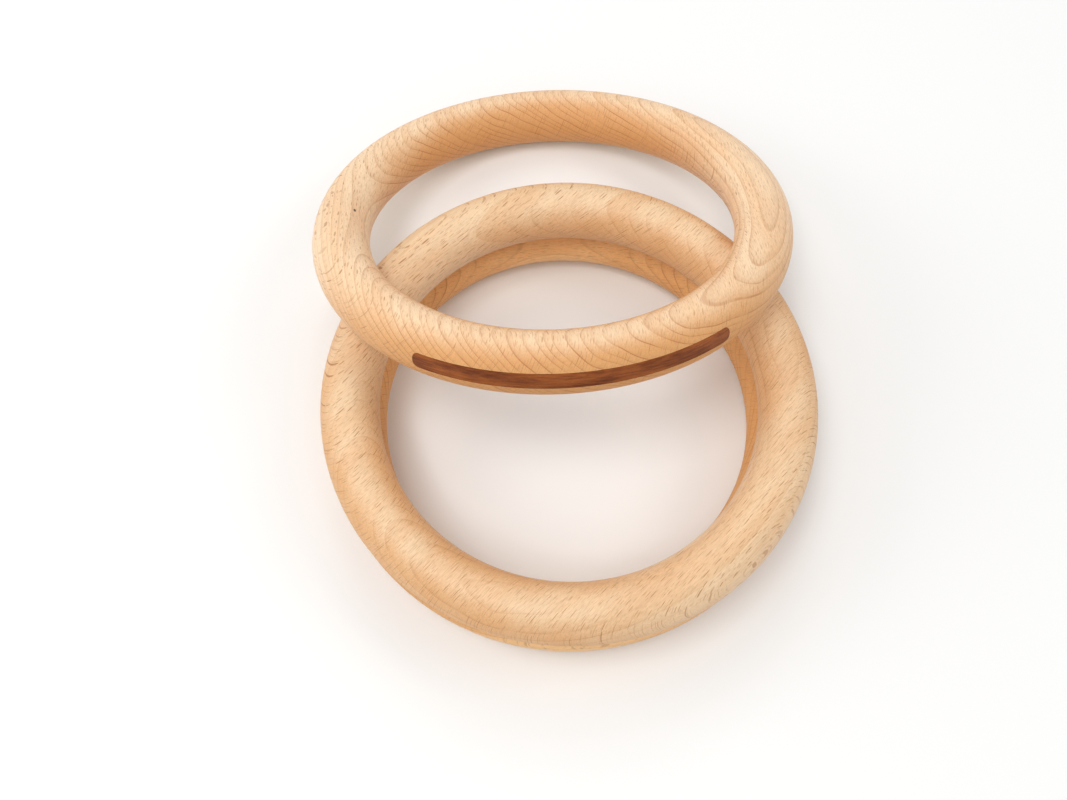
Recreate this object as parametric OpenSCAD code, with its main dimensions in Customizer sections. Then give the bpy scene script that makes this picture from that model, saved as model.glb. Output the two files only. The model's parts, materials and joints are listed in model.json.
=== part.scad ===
// A pile of three turned wooden gymnastics rings.
// The bottom ring lies flat on the floor and the middle ring lies flat on it.
// The top ring leans on the middle ring, with its back edge on the floor.
// Each ring is one piece of wood, with a strip of darker wood let into a slot in its outer edge.
// The origin is on the floor, in the middle of the pile's footprint. +Y is the back.

/* [Ring] */
// Diameter of the round section that the hands grip
section_d = 28; // [24:1:34]
// Diameter of the hole in a ring
hole_d = 180; // [160:2:200]

/* [Inlay] */
// Width of the inlay strip across the ring's outer edge
inlay_w = 8; // [7:0.5:10]
// Depth of the slot at the outer edge
inlay_depth = 6; // [3:0.5:8]
// Angle of the ring that the inlay takes up
inlay_arc = 72; // [30:2:120]
// Radius of the slot's end corners
inlay_corner = 3; // [1:0.5:3]
// Height of the inlay's middle above the ring's own middle plane
inlay_rise = 1; // [-1:0.5:1]
// Thickness of the glue between the inlay and its slot
glue_line = 0.1; // [0.05:0.05:0.2]

/* [Pile] */
// How far forward of the bottom ring the middle ring lies
middle_slip = 3; // [0:0.5:6]
// How far behind the middle ring the top ring's centre is
top_setback = 89; // [80:0.5:100]
// Air left between two rings where one rests on the other
rest_gap = 0.3; // [0.2:0.1:0.5]
// Direction in which the bottom ring's inlay faces, counted from +X
bottom_turn = 0; // [0:1:359]
// Direction in which the middle ring's inlay faces
middle_turn = 41; // [0:1:359]
// Direction in which the top ring's inlay faces
top_turn = 270; // [0:1:359]

/* [Hidden] */
$fn = 180;

section_r = section_d / 2;
ring_r = hole_d / 2 + section_r;
outer_r = ring_r + section_r;

bottom_z = section_r;
middle_z = bottom_z + section_d + rest_gap;

// The lean is the angle at which the top ring rests on the floor and on the middle ring.
// A point of the top ring's centre line, seen from the middle ring's centre:
function lean_point(lean, turn) = [
    ring_r * cos(turn),
    top_setback + ring_r * sin(turn) * cos(lean),
    bottom_z - middle_z + ring_r * sin(lean) * (1 - sin(turn))
];
// The distance from a point to the middle ring's centre line
function line_distance(p) = norm([norm([p.x, p.y]) - ring_r, p.z]);
// The air between the two rings at one lean
function lean_gap(lean) =
    min([for (turn = [180:0.5:270]) line_distance(lean_point(lean, turn))]) - section_d;
// Halves the range from low, where the rings overlap, to high, where they are clear
function find_lean(low, high, steps) =
    let (middle = (low + high) / 2)
    steps == 0 ? high
    : lean_gap(middle) < rest_gap ? find_lean(middle, high, steps - 1)
    : find_lean(low, middle, steps - 1);
steepest_lean = 45;
top_lean = find_lean(0, steepest_lean, 24);
top_z = section_r + ring_r * sin(top_lean);

// The pile's front and back, counted from the bottom ring's centre
pile_front = -middle_slip - outer_r;
pile_back = -middle_slip + top_setback + ring_r * cos(top_lean) + section_r;
bottom_y = -(pile_front + pile_back) / 2;
middle_y = bottom_y - middle_slip;
top_y = middle_y + top_setback;

beech_gold = [0.89, 0.70, 0.46];
beech_pale = [0.96, 0.82, 0.66];
beech_pink = [0.95, 0.77, 0.60];
dark_wood = [0.58, 0.33, 0.20];

// Every ring is made round +Z, with its inlay facing +X, and is then put in its place.
module place_bottom() {
    translate([0, bottom_y, bottom_z]) rotate(bottom_turn) children();
}

module place_middle() {
    translate([0, middle_y, middle_z]) rotate(middle_turn) children();
}

module place_top() {
    translate([0, top_y, top_z]) rotate([-top_lean, 0, 0]) rotate(top_turn) children();
}

module plain_ring() {
    rotate_extrude() translate([ring_r, 0]) circle(section_r);
}

// The outline of one end of the slot, seen from outside the ring
module slot_end(width, corner) {
    corner_y = width / 2 - corner;
    for (side = [-1, 1]) translate([0, side * corner_y]) circle(corner);
    square([2 * corner, 2 * corner_y], center = true);
}

// The space of the slot, drawn in by margin on every buried side
module slot_space(margin) {
    width = inlay_w - 2 * margin;
    corner = inlay_corner - margin;
    floor_r = outer_r - inlay_depth + margin;
    reach = inlay_depth + 1;
    end_turn = inlay_arc / 2 - asin(inlay_corner / outer_r);
    translate([0, 0, inlay_rise]) {
        rotate(-end_turn) rotate_extrude(angle = 2 * end_turn)
            translate([floor_r, -width / 2]) square([reach, width]);
        for (side = [-1, 1])
            rotate(side * end_turn) translate([floor_r, 0, 0]) rotate([90, 0, 90])
                linear_extrude(reach) slot_end(width, corner);
    }
}

module slotted_ring() {
    difference() {
        plain_ring();
        slot_space(0);
    }
}

module inlay_strip() {
    intersection() {
        plain_ring();
        slot_space(glue_line);
    }
}

module bottom_ring() {
    color(beech_gold) place_bottom() slotted_ring();
}

module bottom_inlay() {
    color(dark_wood) place_bottom() inlay_strip();
}

module middle_ring() {
    color(beech_pale) place_middle() slotted_ring();
}

module middle_inlay() {
    color(dark_wood) place_middle() inlay_strip();
}

module top_ring() {
    color(beech_pink) place_top() slotted_ring();
}

module top_inlay() {
    color(dark_wood) place_top() inlay_strip();
}

bottom_ring();
bottom_inlay();
middle_ring();
middle_inlay();
top_ring();
top_inlay();
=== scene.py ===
"""A pile of three turned wooden gymnastics rings on a white table."""

import json
import math

import bmesh
import bpy
from mathutils import Matrix, Vector


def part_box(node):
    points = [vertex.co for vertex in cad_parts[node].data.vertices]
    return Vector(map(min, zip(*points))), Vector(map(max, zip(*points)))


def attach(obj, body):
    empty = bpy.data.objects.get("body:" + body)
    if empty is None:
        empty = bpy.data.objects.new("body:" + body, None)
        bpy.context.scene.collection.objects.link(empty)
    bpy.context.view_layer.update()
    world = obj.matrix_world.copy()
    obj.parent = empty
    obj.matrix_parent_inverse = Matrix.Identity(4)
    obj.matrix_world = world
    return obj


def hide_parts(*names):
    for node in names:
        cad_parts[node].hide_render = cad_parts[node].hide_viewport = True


MM = 0.001
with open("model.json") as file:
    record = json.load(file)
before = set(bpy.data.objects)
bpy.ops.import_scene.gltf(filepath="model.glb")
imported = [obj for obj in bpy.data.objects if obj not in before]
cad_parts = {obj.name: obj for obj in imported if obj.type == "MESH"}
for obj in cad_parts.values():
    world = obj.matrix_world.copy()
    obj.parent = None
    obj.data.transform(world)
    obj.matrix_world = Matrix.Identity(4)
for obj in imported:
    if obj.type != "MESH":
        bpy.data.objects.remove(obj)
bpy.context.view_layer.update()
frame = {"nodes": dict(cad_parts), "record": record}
scene = bpy.context.scene

# What each ring is cut from, in millimetres. pith is where the middle of the tree lies, across the grain
# and up, from the ring's centre. year is the mean thickness of a growth layer and bend is how far the
# layers wander. ray_size scales the length of the rays. lines, flecks, year_tones and end_tone say how
# strongly the growth lines, the rays, each year's own tone and the end grain show. pin_knot is a knot's
# angle round the ring and its angle round the section.
WOODS = {
    "bottom": {
        "pith": (-60, 150), "year": 3.6, "bend": 2.0, "seed": 3.0, "ray_size": 0.8,
        "lines": 0.75, "flecks": 0.8, "year_tones": 0.5, "end_tone": 0.75,
        # The bottom ring's pale and rosy are partly painted light. They hold its own beech colour, but made
        # brighter and more orange than the other rings to stand in for the warm bounced light in its shaded
        # place under the middle ring.
        "pale": (0.90, 0.545, 0.24), "rosy": (0.84, 0.46, 0.185),
    },
    "middle": {
        "pith": (-50, 150), "year": 4.6, "bend": 1.6, "seed": 11.0, "ray_size": 1.0,
        "lines": 0.3, "flecks": 1.1, "year_tones": 0.4, "end_tone": 0.55,
        "pale": (0.82, 0.59, 0.37), "rosy": (0.78, 0.505, 0.285),
    },
    "top": {
        "pith": (110, 200), "year": 2.9, "bend": 2.2, "seed": 5.0, "ray_size": 0.7,
        "lines": 0.85, "flecks": 0.9, "year_tones": 0.35, "end_tone": 0.9,
        "pale": (0.90, 0.665, 0.435), "rosy": (0.86, 0.575, 0.345), "pin_knot": (-94, 124),
    },
}
LATEWOOD = (0.48, 0.19, 0.055)
FLECK_BROWN = (0.40, 0.165, 0.05)
END_GRAIN = (0.68, 0.325, 0.105)
KNOT_BROWN = (0.10, 0.04, 0.015)
HARDWOOD_DARK = (0.115, 0.020, 0.002)
HARDWOOD_PALE = (0.38, 0.108, 0.022)
PORE_BROWN = (0.07, 0.02, 0.008)

# The three kinds of ray in beech, in millimetres. room is the space that each ray has along the grain,
# round the pith and away from it, and half_size is half its length and half its thickness.
RAY_KINDS = (
    {"room": (7.5, 1.8, 5), "half_size": (3.4, 0.21), "strength": 1.0, "shift": 0.0},
    {"room": (5.5, 1.3, 4), "half_size": (2.3, 0.16), "strength": 0.7, "shift": 50.5},
    {"room": (2.8, 0.7, 3), "half_size": (1.1, 0.12), "strength": 0.4, "shift": 90.5},
)
PORE_ROOM = (2.2, 0.7, 4)
PORE_HALF_SIZE = (0.9, 0.14)

# How long, wide and high the other features of the wood are, in millimetres
LAYER_WANDER = (190, 48, 48)
PATCH = (60, 16, 16)
LINE_FADE = (45, 14, 14)
FIBRE = (10, 0.5, 0.5)
KNOT = (1.3, 0.8, 0.8)
HARDWOOD_PATCH = (36, 7, 7)
HARDWOOD_FIBRE = (6, 0.7, 0.7)

# Growth layers get thicker and thinner over this many millimetres, by up to this many years
UNEVEN_STEP = 9
UNEVEN_YEARS = 1.6

# Where in a year, from 0 to 1, the wood darkens, and where its thin last line sets in and ends
DARKENING = (0.45, 0.98)
DARKENED = 0.22
LINE_START = (0.86, 0.94)
LINE_END = (0.965, 1.0)
# How much of the line is left where it fades most, and on a face along the grain
FADED_LINE = 0.1
FACE_LINE = 0.25

# The part of a noise's values that is spread over a whole range
NOISE_LOW, NOISE_HIGH = 0.3, 0.7

BUMP_STRENGTH = 0.5
BEECH_RELIEF = 0.04 * MM
BEECH_ROUGHNESS = (0.44, 0.56)
BEECH_SHEEN = 0.55
HARDWOOD_RELIEF = 0.05 * MM
HARDWOOD_ROUGHNESS = (0.42, 0.55)
HARDWOOD_SHEEN = 0.25

# The inlay's edges
INLAY_CORNER = 3 * MM
GLUE_LINE = 0.1 * MM
EDGE_WEAR = 0.15 * MM

# How finely the meshes are cut, counted in faces
TURNS_IN_SLOT = 96
TURNS_OUTSIDE = 264
TURNS_AT_CORNER = 8
ROWS_IN_SLOT = 10
ROWS_OUTSIDE = 86
# Points of neighbouring grids that are closer than this are joined
SEAM_GAP = 0.005 * MM
# Edges that turn by more than this many degrees are worn
WORN_EDGE_TURN = 50


# ---------------------------------------------------------------- sizes from the frame

# The middle ring lies flat, and its slot doesn't reach its widest places along X
ring_low, ring_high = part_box("middle_ring")
SECTION_R = (ring_high.z - ring_low.z) / 2
OUTER_R = (ring_high.x - ring_low.x) / 2
RING_R = OUTER_R - SECTION_R
MOUNTS = {mount["name"]: mount for mount in frame["record"]["mounts"]}


def ring_place(ring):
    """The matrix from a ring's own space to the frame. In its own space the ring lies round +Z, with its
    inlay, and so its grain, along +X."""
    seat = MOUNTS[f"{ring}_strap_seat"]
    grain = -Vector(seat["axis"]).normalized()
    up = Vector((0, 0, 1))
    normal = (up - grain * up.dot(grain)).normalized()
    across = normal.cross(grain)
    centre = Vector(seat["pos_m"]) + grain * RING_R
    place = Matrix((grain, across, normal)).transposed().to_4x4()
    place.translation = centre
    return place


def inlay_extent(ring):
    """The inlay's half angle, lowest and highest height and inner radius, in the ring's own space."""
    to_ring = ring_place(ring).inverted()
    points = [to_ring @ v.co for v in frame["nodes"][f"{ring}_inlay"].data.vertices]
    half_angle = max(abs(math.atan2(p.y, p.x)) for p in points)
    radii = [math.hypot(p.x, p.y) for p in points]
    heights = [p.z for p in points]
    return half_angle, min(heights), max(heights), min(radii)


# ---------------------------------------------------------------- ring and inlay meshes

def spread(start, end, count):
    """count + 1 evenly spaced values"""
    return [start + (end - start) * i / count for i in range(count + 1)]


def slot_turns(half_angle):
    """Angles across the slot, close together at its rounded ends"""
    corner = INLAY_CORNER / OUTER_R
    rounded = [corner * (1 - math.cos(math.pi / 2 * i / TURNS_AT_CORNER)) for i in range(TURNS_AT_CORNER)]
    first = [-half_angle + turn for turn in rounded]
    last = [half_angle - turn for turn in reversed(rounded)]
    middle = spread(-half_angle + corner, half_angle - corner, TURNS_IN_SLOT)
    return first + middle + last


def corner_cut(turn, half_angle, corner):
    """How far the rounded end of the slot pulls in its sides at one angle"""
    into_corner = corner - (half_angle - abs(turn)) * OUTER_R
    if into_corner <= 0:
        return 0.0
    return corner - math.sqrt(max(corner ** 2 - into_corner ** 2, 0.0))


def section_angle(height):
    """The angle round the section at which the outer side has this height"""
    return math.asin(height / SECTION_R)


def torus_point(turn, angle):
    """The point of the torus at one angle round the ring and one round the section"""
    radius = RING_R + SECTION_R * math.cos(angle)
    return Vector((radius * math.cos(turn), radius * math.sin(turn), SECTION_R * math.sin(angle)))


def slot_grid(half_angle, low, high, floor_r, corner):
    """The slot's mouth on the torus and its floor below it, as two grids of points [turn][row]"""
    mouth = []
    floor = []
    for turn in slot_turns(half_angle):
        cut = corner_cut(turn, half_angle, corner)
        angles = spread(section_angle(low + cut), section_angle(high - cut), ROWS_IN_SLOT)
        mouth.append([torus_point(turn, angle) for angle in angles])
        floor.append([
            Vector((floor_r * math.cos(turn), floor_r * math.sin(turn), point.z)) for point in mouth[-1]
        ])
    return mouth, floor


def add_grid(mesh, points):
    """Adds a grid of points and its faces, and gives back the grid's vertices"""
    verts = [[mesh.verts.new(point) for point in row] for row in points]
    for here, there in zip(verts, verts[1:]):
        for a, b, c, d in zip(here, there, there[1:], here[1:]):
            mesh.faces.new((a, b, c, d))
    return verts


def rim(verts):
    """The vertices round the edge of a grid, in order"""
    low_side = [row[0] for row in verts]
    high_side = [row[-1] for row in reversed(verts)]
    return low_side[:-1] + verts[-1][:-1] + high_side[:-1] + verts[0][:0:-1]


def add_walls(mesh, upper, lower):
    """Joins the edges of two grids with a band of faces"""
    top = rim(upper)
    bottom = rim(lower)
    for i in range(len(top)):
        j = (i + 1) % len(top)
        mesh.faces.new((top[i], bottom[i], bottom[j], top[j]))


def fill_inlay(mesh, extent):
    """The inlay strip: a closed solid whose outer face follows the torus"""
    half_angle, low, high, floor_r = extent
    corner = INLAY_CORNER - GLUE_LINE
    mouth, floor = slot_grid(half_angle, low, high, floor_r, corner)
    outer = add_grid(mesh, mouth)
    inner = add_grid(mesh, floor)
    add_walls(mesh, outer, inner)


def fill_ring(mesh, extent):
    """The ring: a torus with the slot sunk into its outer side"""
    half_angle, low, high, floor_r = extent
    slot_half = half_angle + GLUE_LINE / OUTER_R
    slot_floor_r = floor_r - GLUE_LINE
    mouth, floor = slot_grid(slot_half, low - GLUE_LINE, high + GLUE_LINE, slot_floor_r, INLAY_CORNER)
    turns = slot_turns(slot_half)
    full_turn = 2 * math.pi

    # The torus above and below the slot, whose rows run from the slot's upper edge round to its lower one
    beside = []
    for turn, edge in zip(turns, mouth):
        first = section_angle(edge[-1].z)
        last = section_angle(edge[0].z) + full_turn
        beside.append([torus_point(turn, angle) for angle in spread(first, last, ROWS_OUTSIDE)])
    # The rest of the torus, with whole sections from one end of the slot round to the other
    whole = []
    first = section_angle(mouth[0][-1].z)
    last = section_angle(mouth[0][0].z) + full_turn
    for turn in spread(slot_half, full_turn - slot_half, TURNS_OUTSIDE):
        angles = spread(first, last, ROWS_OUTSIDE)[:-1]
        angles += spread(last, first + full_turn, ROWS_IN_SLOT)
        whole.append([torus_point(turn, angle) for angle in angles])

    add_grid(mesh, beside)
    add_grid(mesh, whole)
    inner = add_grid(mesh, floor)
    outer = [[mesh.verts.new(point) for point in row] for row in mouth]
    add_walls(mesh, outer, inner)
    bmesh.ops.remove_doubles(mesh, verts=mesh.verts, dist=SEAM_GAP)


def make_piece(name, ring, fill, material):
    """Makes one closed, smooth piece, in its place in the frame"""
    mesh = bmesh.new()
    fill(mesh, inlay_extent(ring))
    for vert in [v for v in mesh.verts if not v.link_faces]:
        mesh.verts.remove(vert)
    bmesh.ops.recalc_face_normals(mesh, faces=mesh.faces)
    bmesh.ops.transform(mesh, matrix=ring_place(ring), verts=mesh.verts)
    for face in mesh.faces:
        face.smooth = True
    data = bpy.data.meshes.new(name)
    mesh.to_mesh(data)
    mesh.free()
    piece = bpy.data.objects.new(name, data)
    scene.collection.objects.link(piece)
    data.materials.append(material)
    wear = piece.modifiers.new("worn edges", "BEVEL")
    wear.width = EDGE_WEAR
    wear.segments = 2
    wear.limit_method = "ANGLE"
    wear.angle_limit = math.radians(WORN_EDGE_TURN)
    wear.harden_normals = True
    return piece


# ---------------------------------------------------------------- materials

class Graph:
    """Short names for the node tree of one material"""

    def __init__(self, name):
        self.material = bpy.data.materials.new(name)
        self.material.use_nodes = True
        self.tree = self.material.node_tree
        self.tree.nodes.clear()
        self.shader = self.add("ShaderNodeBsdfPrincipled")
        output = self.add("ShaderNodeOutputMaterial")
        self.link(self.shader.outputs["BSDF"], output.inputs["Surface"])

    def add(self, kind, **settings):
        node = self.tree.nodes.new(kind)
        for key, value in settings.items():
            setattr(node, key, value)
        return node

    def link(self, source, target):
        self.tree.links.new(source, target)

    def feed(self, target, value):
        """Connects a socket, or sets it to a plain value"""
        if isinstance(value, bpy.types.NodeSocket):
            self.link(value, target)
        elif hasattr(target.default_value, "__len__") and len(value) == 3 and len(target.default_value) == 4:
            target.default_value = (*value, 1)
        else:
            target.default_value = value

    def math(self, operation, *values, clamp=False):
        node = self.add("ShaderNodeMath", operation=operation, use_clamp=clamp)
        for socket, value in zip(node.inputs, values):
            self.feed(socket, value)
        return node.outputs[0]

    def rescale(self, value, low, high, new_low=0.0, new_high=1.0, smooth=True):
        """Carries low to new_low and high to new_high, and goes no further"""
        kind = "SMOOTHSTEP" if smooth else "LINEAR"
        node = self.add("ShaderNodeMapRange", interpolation_type=kind)
        for socket, number in zip(node.inputs, (value, low, high, new_low, new_high)):
            self.feed(socket, number)
        return node.outputs[0]

    def vector(self, x, y, z):
        node = self.add("ShaderNodeCombineXYZ")
        for socket, value in zip(node.inputs, (x, y, z)):
            self.feed(socket, value)
        return node.outputs[0]

    def noise_node(self, vector, detail, scale=1.0, dimensions="3D"):
        node = self.add("ShaderNodeTexNoise", noise_dimensions=dimensions)
        self.feed(node.inputs["W" if dimensions == "1D" else "Vector"], vector)
        node.inputs["Scale"].default_value = scale
        node.inputs["Detail"].default_value = detail
        return node

    def noise(self, vector, detail=2.0):
        return self.noise_node(vector, detail).outputs[0]

    def three_noises(self, vector, detail):
        """Three noises that don't follow each other"""
        split = self.add("ShaderNodeSeparateColor")
        self.link(self.noise_node(vector, detail).outputs["Color"], split.inputs[0])
        return list(split.outputs)

    def mix(self, factor, a, b, blend="MIX"):
        node = self.add("ShaderNodeMix", data_type="RGBA", blend_type=blend)
        colours = [s for s in node.inputs if s.type == "RGBA"]
        self.feed(node.inputs[0], factor)
        self.feed(colours[0], a)
        self.feed(colours[1], b)
        return [s for s in node.outputs if s.type == "RGBA"][0]

    def grey(self, value):
        return self.vector(value, value, value)

    def bump(self, height, distance):
        node = self.add("ShaderNodeBump")
        node.inputs["Strength"].default_value = BUMP_STRENGTH
        node.inputs["Distance"].default_value = distance
        self.feed(node.inputs["Height"], height)
        return node.outputs[0]


def ring_space(graph, ring):
    """Along the grain, across it and up, in millimetres from the ring's centre"""
    place = ring_place(ring)
    coordinates = graph.add("ShaderNodeTexCoord")
    mapping = graph.add("ShaderNodeMapping", vector_type="TEXTURE")
    graph.link(coordinates.outputs["Object"], mapping.inputs["Vector"])
    mapping.inputs["Location"].default_value = place.translation
    mapping.inputs["Rotation"].default_value = place.to_euler()
    mapping.inputs["Scale"].default_value = (MM, MM, MM)
    split = graph.add("ShaderNodeSeparateXYZ")
    graph.link(mapping.outputs["Vector"], split.inputs["Vector"])
    return list(split.outputs)


def stretched(graph, parts, sizes, shift=0.0):
    """A texture place in which the wood's features are as long, wide and high as the sizes"""
    along, across, up = (graph.math("MULTIPLY", part, 1 / size) for part, size in zip(parts, sizes))
    return graph.vector(graph.math("ADD", along, shift), across, up)


def tree_space(graph, wood, parts):
    """The distance from the pith, which the growth layers follow, and the way round the pith, along which
    the rays are spaced. Both are in millimetres. Every pith lies above its ring."""
    drift = graph.three_noises(stretched(graph, parts, LAYER_WANDER, wood["seed"]), 2.0)
    bend = wood["bend"]
    offsets = []
    for value, pith, channel in zip(parts[1:], wood["pith"], drift):
        wander = graph.rescale(channel, NOISE_LOW, NOISE_HIGH, -bend, bend, smooth=False)
        offsets.append(graph.math("ADD", graph.math("SUBTRACT", value, pith), wander))
    across, up = offsets
    squares = graph.math("ADD", graph.math("MULTIPLY", across, across), graph.math("MULTIPLY", up, up))
    turn = graph.math("ARCTAN2", across, graph.math("MULTIPLY", up, -1.0))
    return graph.math("SQRT", squares), graph.math("MULTIPLY", turn, math.hypot(*wood["pith"]))


def growth_layers(graph, wood, radius):
    """How far through its year each point is, from 0 to 1, and a random number for each year"""
    place = graph.math("ADD", radius, wood["seed"] * 31)
    uneven = graph.noise_node(place, 1.0, 1 / UNEVEN_STEP, "1D").outputs[0]
    years = graph.math("DIVIDE", radius, wood["year"])
    years = graph.math("ADD", years, graph.math("MULTIPLY", uneven, UNEVEN_YEARS))
    season = graph.math("FRACT", years)
    number = graph.add("ShaderNodeTexWhiteNoise", noise_dimensions="1D")
    graph.feed(number.inputs["W"], graph.math("FLOOR", years))
    return season, number.outputs["Value"]


def rays(graph, tree_parts, room, half_size, shift):
    """Rays are thin ribbons that stand out from the pith. On a face they show as brown spindles along the
    grain, and on end grain as short lines that point to the pith."""
    place = stretched(graph, tree_parts, room, shift)
    cells = graph.add("ShaderNodeTexVoronoi", feature="F1", voronoi_dimensions="2D")
    graph.feed(cells.inputs["Vector"], place)
    cells.inputs["Scale"].default_value = 1.0
    offset = graph.add("ShaderNodeVectorMath", operation="SUBTRACT")
    graph.feed(offset.inputs[0], place)
    graph.feed(offset.inputs[1], cells.outputs["Position"])
    shape = graph.add("ShaderNodeVectorMath", operation="MULTIPLY")
    graph.feed(shape.inputs[0], offset.outputs[0])
    shape.inputs[1].default_value = (room[0] / half_size[0], room[1] / half_size[1], 0.0)
    distance = graph.add("ShaderNodeVectorMath", operation="LENGTH")
    graph.feed(distance.inputs[0], shape.outputs[0])

    # Each ray has its own size and strength, and some patches have none
    random = graph.add("ShaderNodeSeparateColor")
    graph.link(cells.outputs["Color"], random.inputs[0])
    size = graph.rescale(random.outputs[0], 0.0, 1.0, 0.45, 1.0, smooth=False)
    nearness = graph.math("SUBTRACT", 1.0, graph.math("DIVIDE", distance.outputs["Value"], size))
    strength = graph.rescale(random.outputs[1], 0.0, 1.0, 0.25, 1.0, smooth=False)
    presence = graph.noise(stretched(graph, tree_parts, room, shift + 7))
    strength = graph.math("MULTIPLY", strength, graph.rescale(presence, 0.33, 0.45))
    return graph.math("MULTIPLY", graph.rescale(nearness, 0.0, 0.4), strength)


def beech_flecks(graph, wood, tree_parts):
    """All the rays of one ring, from 0 to about 1"""
    flecks = 0.0
    for kind in RAY_KINDS:
        length, *breadths = kind["room"]
        room = (length * wood["ray_size"], *breadths)
        half_size = (kind["half_size"][0] * wood["ray_size"], kind["half_size"][1])
        shown = rays(graph, tree_parts, room, half_size, wood["seed"] + kind["shift"])
        flecks = graph.math("MAXIMUM", flecks, graph.math("MULTIPLY", shown, kind["strength"]))
    return graph.math("MULTIPLY", flecks, wood["flecks"])


def beech_lines(graph, wood, parts, season, end_grain):
    """Each year darkens towards the thin line that ends it. The line fades here and there, and it is
    strongest on end grain."""
    late = graph.rescale(season, *DARKENING, 0.0, DARKENED)
    start = graph.rescale(season, *LINE_START)
    end = graph.rescale(season, *LINE_END, 1.0, 0.0)
    line = graph.math("MULTIPLY", start, end)
    fade = graph.noise(stretched(graph, parts, LINE_FADE, wood["seed"] + 9))
    line = graph.math("MULTIPLY", line, graph.rescale(fade, 0.34, 0.60, FADED_LINE, 1.0))
    line = graph.math("MULTIPLY", line, graph.rescale(end_grain, 0.0, 1.0, FACE_LINE, 1.0))
    return graph.math("MULTIPLY", graph.math("ADD", late, line), wood["lines"])


def end_grain_share(graph, ring):
    """How far the surface cuts across the grain, from 0 to 1"""
    surface = graph.add("ShaderNodeTexCoord")
    facing = graph.add("ShaderNodeVectorMath", operation="DOT_PRODUCT")
    graph.link(surface.outputs["Normal"], facing.inputs[0])
    facing.inputs[1].default_value = ring_place(ring).to_3x3().col[0]
    return graph.rescale(graph.math("ABSOLUTE", facing.outputs["Value"]), 0.1, 0.8)


def pin_knot(graph, parts, turn, section_turn):
    """A small dark spot on the surface of the ring, a little longer along the grain"""
    spot = torus_point(math.radians(turn), math.radians(section_turn)) / MM
    offsets = [graph.math("SUBTRACT", part, value) for part, value in zip(parts, spot)]
    distance = graph.add("ShaderNodeVectorMath", operation="LENGTH")
    graph.feed(distance.inputs[0], stretched(graph, offsets, KNOT))
    return graph.rescale(distance.outputs["Value"], 0.5, 1.1, 1.0, 0.0)


def beech(ring):
    """Beech that was turned, sanded and waxed"""
    wood = WOODS[ring]
    graph = Graph(f"beech_{ring}")
    parts = ring_space(graph, ring)
    radius, around = tree_space(graph, wood, parts)
    season, year_tone = growth_layers(graph, wood, radius)
    end_grain = end_grain_share(graph, ring)
    layers = beech_lines(graph, wood, parts, season, end_grain)
    flecks = beech_flecks(graph, wood, (parts[0], around, radius))
    fibres = graph.noise(stretched(graph, parts, FIBRE), detail=3.0)

    # Broad patches and each year's own tone
    patches = graph.noise(stretched(graph, parts, PATCH, wood["seed"]), detail=3.0)
    tones = wood["year_tones"]
    year_tone = graph.rescale(year_tone, 0, 1, -tones, tones, smooth=False)
    tone = graph.math("ADD", graph.rescale(patches, NOISE_LOW, NOISE_HIGH), year_tone, clamp=True)
    colour = graph.mix(tone, wood["pale"], wood["rosy"])
    # End grain soaks up more wax, so it is darker and redder
    colour = graph.mix(graph.math("MULTIPLY", end_grain, wood["end_tone"]), colour, END_GRAIN)
    colour = graph.mix(layers, colour, LATEWOOD)
    colour = graph.mix(graph.math("MULTIPLY", flecks, 0.85), colour, FLECK_BROWN)
    streak = graph.rescale(fibres, NOISE_LOW, NOISE_HIGH, 0.90, 1.08, smooth=False)
    colour = graph.mix(1.0, colour, graph.grey(streak), "MULTIPLY")
    if "pin_knot" in wood:
        colour = graph.mix(pin_knot(graph, parts, *wood["pin_knot"]), colour, KNOT_BROWN)

    # End grain is rougher, and rays shine a little
    rough = graph.rescale(fibres, 0.25, 0.75, *BEECH_ROUGHNESS, smooth=False)
    rough = graph.math("ADD", rough, graph.math("MULTIPLY", end_grain, 0.12))
    rough = graph.math("SUBTRACT", rough, graph.math("MULTIPLY", flecks, 0.1))
    relief = graph.math("SUBTRACT", fibres, graph.math("MULTIPLY", flecks, 0.8))
    relief = graph.math("SUBTRACT", relief, graph.math("MULTIPLY", layers, 0.3))

    graph.feed(graph.shader.inputs["Base Color"], colour)
    graph.feed(graph.shader.inputs["Roughness"], rough)
    graph.feed(graph.shader.inputs["Normal"], graph.bump(relief, BEECH_RELIEF))
    graph.shader.inputs["Specular IOR Level"].default_value = BEECH_SHEEN
    return graph.material


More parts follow.
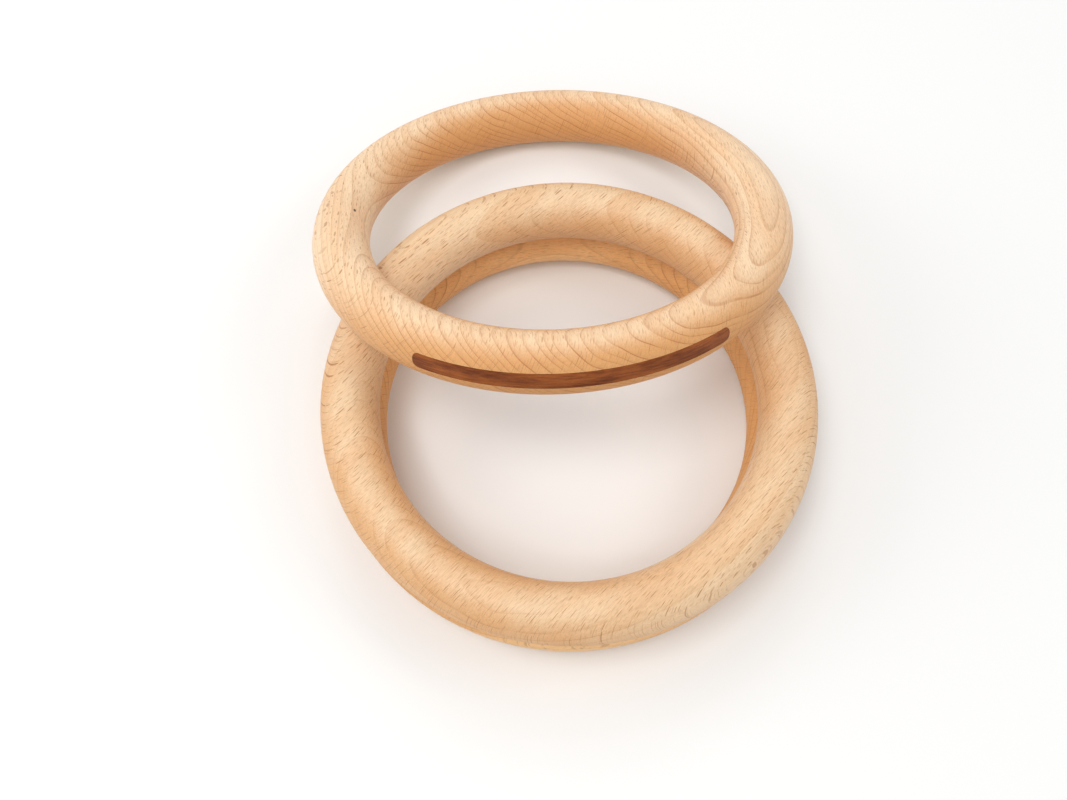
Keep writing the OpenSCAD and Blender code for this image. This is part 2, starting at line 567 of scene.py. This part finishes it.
def dark_hardwood(ring):
    """The inlay's red-brown hardwood, whose grain follows the strip"""
    seed = WOODS[ring]["seed"]
    graph = Graph(f"hardwood_{ring}")
    x, y, height = ring_space(graph, ring)
    along = graph.math("MULTIPLY", graph.math("ARCTAN2", y, x), OUTER_R / MM)
    squares = graph.math("ADD", graph.math("MULTIPLY", x, x), graph.math("MULTIPLY", y, y))
    radius = graph.math("SQRT", squares)

    strip_parts = (along, radius, height)
    patches = graph.noise(stretched(graph, strip_parts, HARDWOOD_PATCH, seed))
    fibres = graph.noise(stretched(graph, strip_parts, HARDWOOD_FIBRE, seed), detail=4.0)
    pores = rays(graph, (along, height, radius), PORE_ROOM, PORE_HALF_SIZE, seed)
    patch_tone = graph.rescale(patches, 0.32, 0.68, 0.0, 0.55)
    fibre_tone = graph.rescale(fibres, NOISE_LOW, NOISE_HIGH, -0.1, 0.5, smooth=False)
    tone = graph.math("ADD", patch_tone, fibre_tone, clamp=True)
    colour = graph.mix(tone, HARDWOOD_DARK, HARDWOOD_PALE)
    colour = graph.mix(graph.math("MULTIPLY", pores, 0.6), colour, PORE_BROWN)
    rough = graph.rescale(fibres, NOISE_LOW, NOISE_HIGH, *HARDWOOD_ROUGHNESS, smooth=False)
    relief = graph.math("SUBTRACT", fibres, graph.math("MULTIPLY", pores, 0.7))

    graph.feed(graph.shader.inputs["Base Color"], colour)
    graph.feed(graph.shader.inputs["Roughness"], rough)
    graph.feed(graph.shader.inputs["Normal"], graph.bump(relief, HARDWOOD_RELIEF))
    graph.shader.inputs["Specular IOR Level"].default_value = HARDWOOD_SHEEN
    return graph.material


for ring in WOODS:
    body = f"{ring}_ring"
    turned = make_piece(f"{ring}_turned_ring", ring, fill_ring, beech(ring))
    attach(turned, body)
    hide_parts(f"{ring}_ring")
    strip = make_piece(f"{ring}_inlay_strip", ring, fill_inlay, dark_hardwood(ring))
    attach(strip, body)
    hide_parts(f"{ring}_inlay")


# ---------------------------------------------------------------- table, light and camera

TABLE_HALF_SIZE = 3.0
TABLE_WHITE = (0.88, 0.897, 0.91, 1)
TABLE_ROUGHNESS = 0.75
TABLE_SHEEN = 0.2
SKY_STRENGTH = 0.58
SKY_COLOUR = (1.0, 0.99, 0.98, 1)

# Area lights that look at the middle ring. Azimuth is counted from +X towards +Y, and sizes are in metres.
LAMP_DISTANCE = 2.2
LAMPS = {
    "ceiling_lamp": {
        "azimuth": 203, "elevation": 74, "size": (0.8, 0.8), "watts": 13.5, "colour": (1.0, 0.99, 0.97),
    },
    "front_lamp": {
        "azimuth": 240, "elevation": 60, "size": (0.4, 0.4), "watts": 4.5, "colour": (1.0, 0.99, 0.97),
    },
    "window": {
        "azimuth": 175, "elevation": 30, "size": (1.6, 1.2), "watts": 10, "colour": (1.0, 0.995, 0.98),
    },
    "right_wall": {
        "azimuth": 0, "elevation": 50, "size": (0.8, 0.8), "watts": 5.5, "colour": (1.0, 0.92, 0.83),
    },
    "back_wall": {
        "azimuth": 90, "elevation": 50, "size": (0.8, 0.8), "watts": 5, "colour": (1.0, 0.985, 0.96),
    },
}

# The camera looks past the middle ring's centre, a little to its left. Azimuth 0 looks along +Y.
CAMERA_AIM = Vector((-16.9, 0, 0)) * MM
CAMERA_AZIMUTH = -5.1
CAMERA_ELEVATION = 67.1
CAMERA_ROLL = -0.1
CAMERA_DISTANCE = 0.538
CAMERA_LENS = 38.1
CAMERA_SENSOR = 36


def make_table():
    data = bpy.data.meshes.new("table")
    reach = TABLE_HALF_SIZE
    corners = [(-reach, -reach, 0), (reach, -reach, 0), (reach, reach, 0), (-reach, reach, 0)]
    data.from_pydata(corners, [], [(0, 1, 2, 3)])
    table = bpy.data.objects.new("table", data)
    scene.collection.objects.link(table)
    graph = Graph("white_table")
    graph.shader.inputs["Base Color"].default_value = TABLE_WHITE
    graph.shader.inputs["Roughness"].default_value = TABLE_ROUGHNESS
    graph.shader.inputs["Specular IOR Level"].default_value = TABLE_SHEEN
    data.materials.append(graph.material)


def make_area_light(name, aim, lamp):
    data = bpy.data.lights.new(name, "AREA")
    data.shape = "RECTANGLE"
    data.size, data.size_y = lamp["size"]
    data.energy = lamp["watts"]
    data.color = lamp["colour"]
    light = bpy.data.objects.new(name, data)
    turn = math.radians(lamp["azimuth"])
    rise = math.radians(lamp["elevation"])
    out = Vector((math.cos(turn) * math.cos(rise), math.sin(turn) * math.cos(rise), math.sin(rise)))
    light.location = aim + out * LAMP_DISTANCE
    light.rotation_euler = (-out).to_track_quat("-Z", "Y").to_euler()
    scene.collection.objects.link(light)


def make_camera(aim):
    data = bpy.data.cameras.new("camera")
    data.lens = CAMERA_LENS
    data.sensor_width = CAMERA_SENSOR
    camera = bpy.data.objects.new("camera", data)
    turned = Matrix.Rotation(math.radians(CAMERA_AZIMUTH), 4, "Z")
    turned = turned @ Matrix.Rotation(math.radians(90 - CAMERA_ELEVATION), 4, "X")
    turned = turned @ Matrix.Rotation(math.radians(CAMERA_ROLL), 4, "Z")
    back = turned.to_3x3().col[2]
    turned.translation = aim + back * CAMERA_DISTANCE
    camera.matrix_world = turned
    scene.collection.objects.link(camera)
    scene.camera = camera


def make_sky():
    world = bpy.data.worlds.new("studio")
    world.use_nodes = True
    background = world.node_tree.nodes["Background"]
    background.inputs["Color"].default_value = SKY_COLOUR
    background.inputs["Strength"].default_value = SKY_STRENGTH
    scene.world = world


middle_centre = ring_place("middle").translation
make_table()
make_sky()
for lamp_name, lamp in LAMPS.items():
    make_area_light(lamp_name, middle_centre, lamp)
make_camera(middle_centre + CAMERA_AIM)
scene.view_settings.view_transform = "Standard"
scene.view_settings.look = "None"
